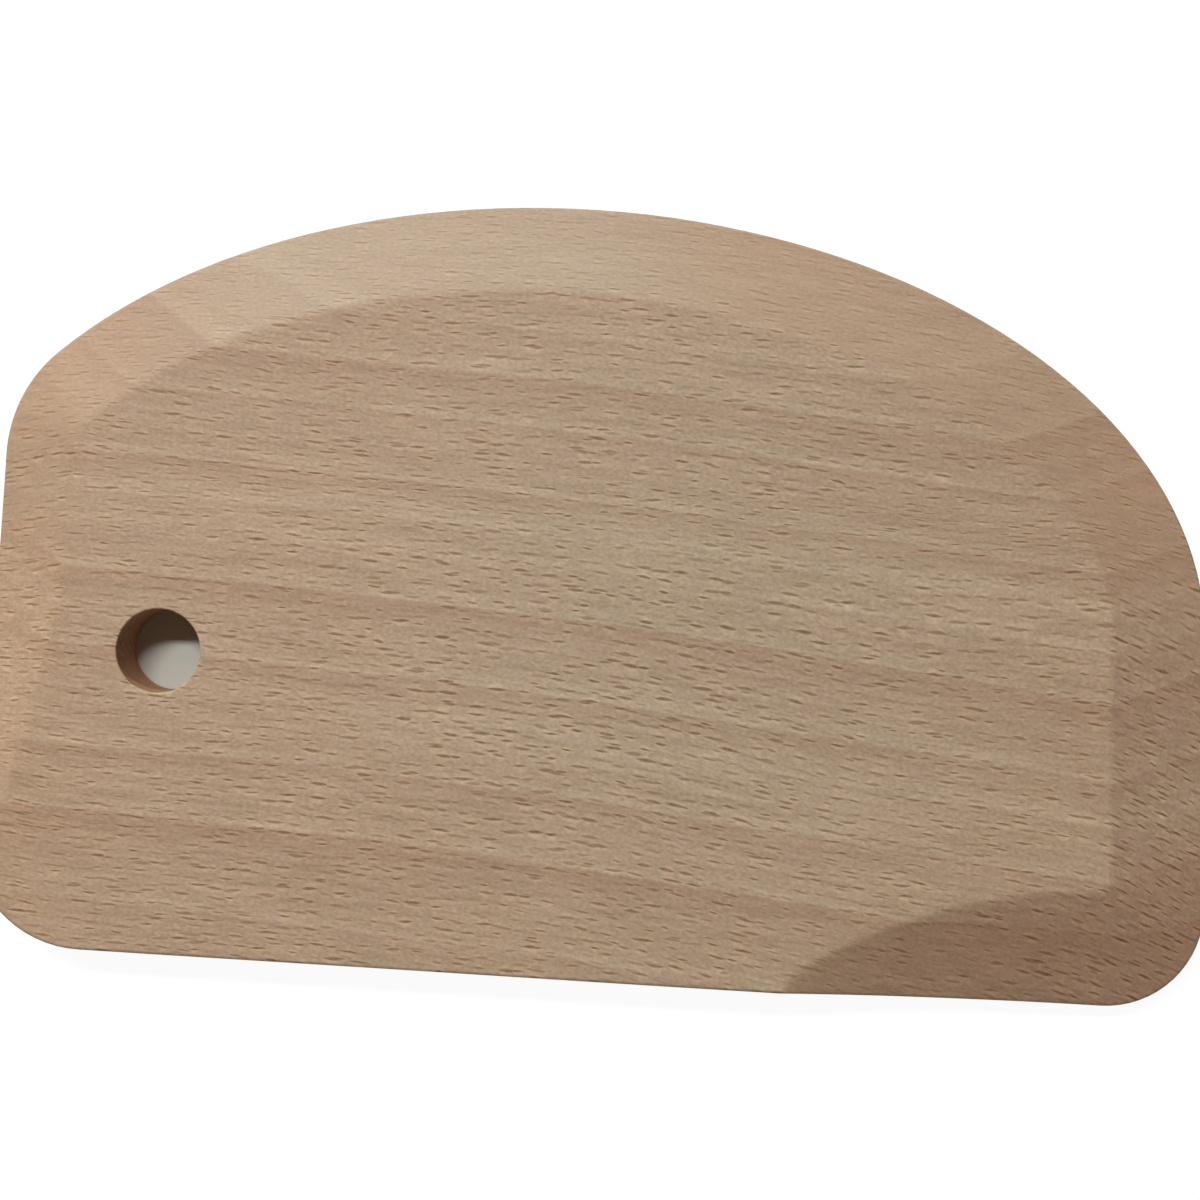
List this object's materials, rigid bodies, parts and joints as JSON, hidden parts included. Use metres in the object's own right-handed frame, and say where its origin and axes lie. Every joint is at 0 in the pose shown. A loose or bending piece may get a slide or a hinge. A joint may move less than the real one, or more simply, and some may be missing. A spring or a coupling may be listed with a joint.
{
  "type": "dough scraper",
  "caption": "Flat solid beech dough scraper: arched side thinned by a bevel for scraping, straight side opposite, rounded corners and a drilled hole to hang it by.",
  "frame": {"origin": "under the middle of the board's box, on the flat back", "axes": "+X along the straight edge, away from the hanging hole; +Y from the straight edge to the crown of the arch; +Z out of the bevelled face"},
  "size_m": [0.15, 0.0935, 0.008],
  "materials": {
    "beech": "sanded bare wood, matte"
  },
  "bodies": {
    "root": {"beech_board": "beech"}
  },
  "joints": []
}
